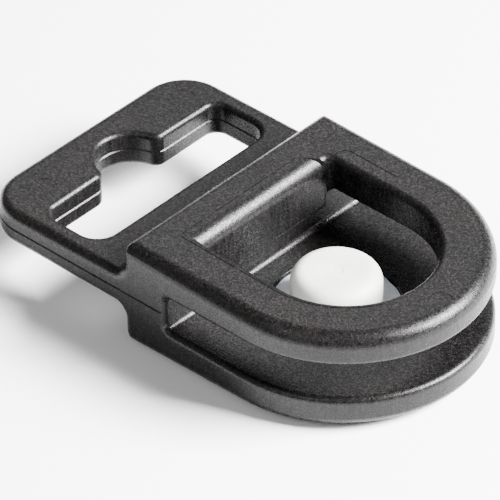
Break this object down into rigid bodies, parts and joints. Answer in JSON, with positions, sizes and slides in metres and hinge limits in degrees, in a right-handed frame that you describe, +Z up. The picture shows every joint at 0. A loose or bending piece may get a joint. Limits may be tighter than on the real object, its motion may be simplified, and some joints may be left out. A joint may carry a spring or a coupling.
{
  "type": "sprung jaw clip",
  "caption": "Moulded strap-end clip: an open jaw takes a cover's eyelet and a sprung white button locks it; a notched slot takes the strap.",
  "frame": {"origin": "bottom centre of the clip's bounding box, on the flat underside of the head", "axes": "+X from the strap slot towards the nose of the jaw, +Y across the clip, +Z up out of the thumb window"},
  "size_m": [0.0678, 0.04, 0.0161],
  "materials": {
    "body_nylon": "fine eroded texture, glass-filled, faint sparkle",
    "button_acetal": "smooth satin moulded",
    "washer_elastomer": "thin, translucent, soft",
    "spring_steel": "drawn stainless wire",
    "cover_nylon": "fine eroded texture"
  },
  "bodies": {
    "housing": {"jaw_body": "body_nylon", "bottom_cover": "cover_nylon", "return_spring": "spring_steel"},
    "button": {"button": "button_acetal", "seal_washer": "washer_elastomer"}
  },
  "joints": [
    {"name": "button_press", "type": "slide", "parent": "housing", "child": "button", "axis": [0, 0, -1], "range_m": [0, 0.0026], "stiffness_N_per_m": 900, "springref_m": -0.002, "deforming": ["return_spring"]}
  ]
}
